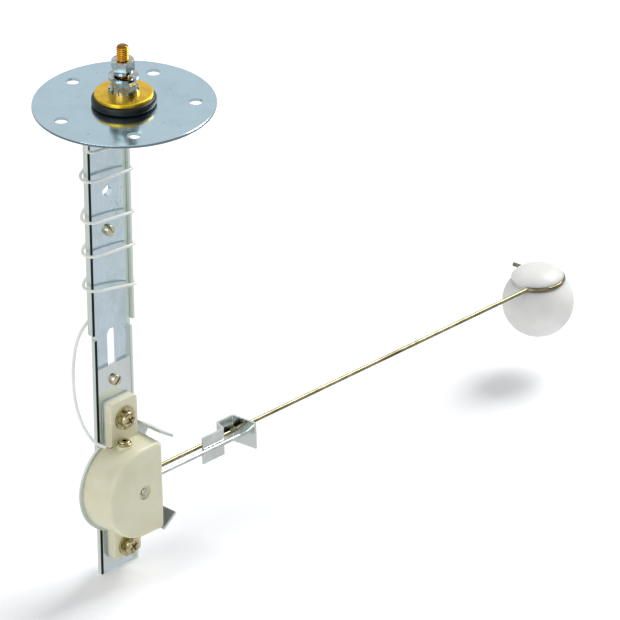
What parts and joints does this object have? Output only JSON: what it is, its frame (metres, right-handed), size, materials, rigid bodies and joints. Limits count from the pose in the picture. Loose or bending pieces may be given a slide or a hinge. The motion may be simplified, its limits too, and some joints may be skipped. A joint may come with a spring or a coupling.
{
  "type": "fuel level sender",
  "caption": "Swing-arm fuel level sender: round flange with terminal stud, adjustable strut, moulded resistor housing, wire arm and float.",
  "frame": {"origin": "on the terminal stud's axis, in the plane of the flange's underside, which seals on the tank", "axes": "+Z out of the tank along the stud, +X towards the float, +Y to the strut's side of the flange"},
  "size_m": [0.2713, 0.07, 0.2265],
  "materials": {
    "zinc_plate": "satin",
    "zinc_strut": "satin",
    "plated_screw": "satin",
    "brass": "satin",
    "spring_bronze": "satin",
    "cream_moulding": "satin",
    "black_insulator": "matte",
    "yellow_disc": "satin",
    "float_moulding": "satin",
    "lead_insulation": "satin",
    "card_fibre": "matte",
    "resistance_wire": "satin",
    "bare_wire": "satin",
    "black_screw": "satin"
  },
  "bodies": {
    "base": {"mounting_flange": "zinc_plate", "upper_channel": "zinc_strut", "middle_channel": "zinc_strut", "lower_plate": "zinc_strut", "stage_screw": "plated_screw", "depth_screw": "plated_screw", "depth_washer": "plated_screw", "depth_nut": "plated_screw", "backing_plate": "zinc_plate", "resistor_housing": "cream_moulding", "housing_screws": "plated_screw", "housing_washers": "plated_screw", "housing_nuts": "plated_screw", "pivot_pin": "zinc_plate", "spring_washer": "spring_bronze", "resistor_card": "card_fibre", "resistance_winding": "resistance_wire", "stud_insulator": "black_insulator", "inner_insulator": "black_insulator", "terminal_disc": "yellow_disc", "base_washer": "plated_screw", "tooth_washer": "plated_screw", "lower_nut": "brass", "flat_washer": "plated_screw", "lock_washer": "plated_screw", "upper_nut": "brass", "terminal_stud": "brass", "ring_terminal": "spring_bronze", "resistor_terminal": "brass", "lead_wire": "lead_insulation", "wire_end": "bare_wire"},
    "swing": {"wiper_hub": "black_insulator", "wiper_contact": "spring_bronze", "swing_arm": "zinc_plate", "rod_bracket": "zinc_plate", "clamp_screw": "black_screw", "float_rod": "brass"},
    "float_body": {"float": "float_moulding"}
  },
  "joints": [
    {"name": "arm_pivot", "type": "hinge", "parent": "base", "child": "swing", "pos_m": [0, 0, -0.1636], "axis": [0, -1, 0], "range_deg": [-44, 40.5]},
    {"name": "float_spin", "type": "hinge", "parent": "swing", "child": "float_body", "pos_m": [0.2224, 0.0076, -0.162], "axis": [0, 0, 1], "continuous": true}
  ]
}
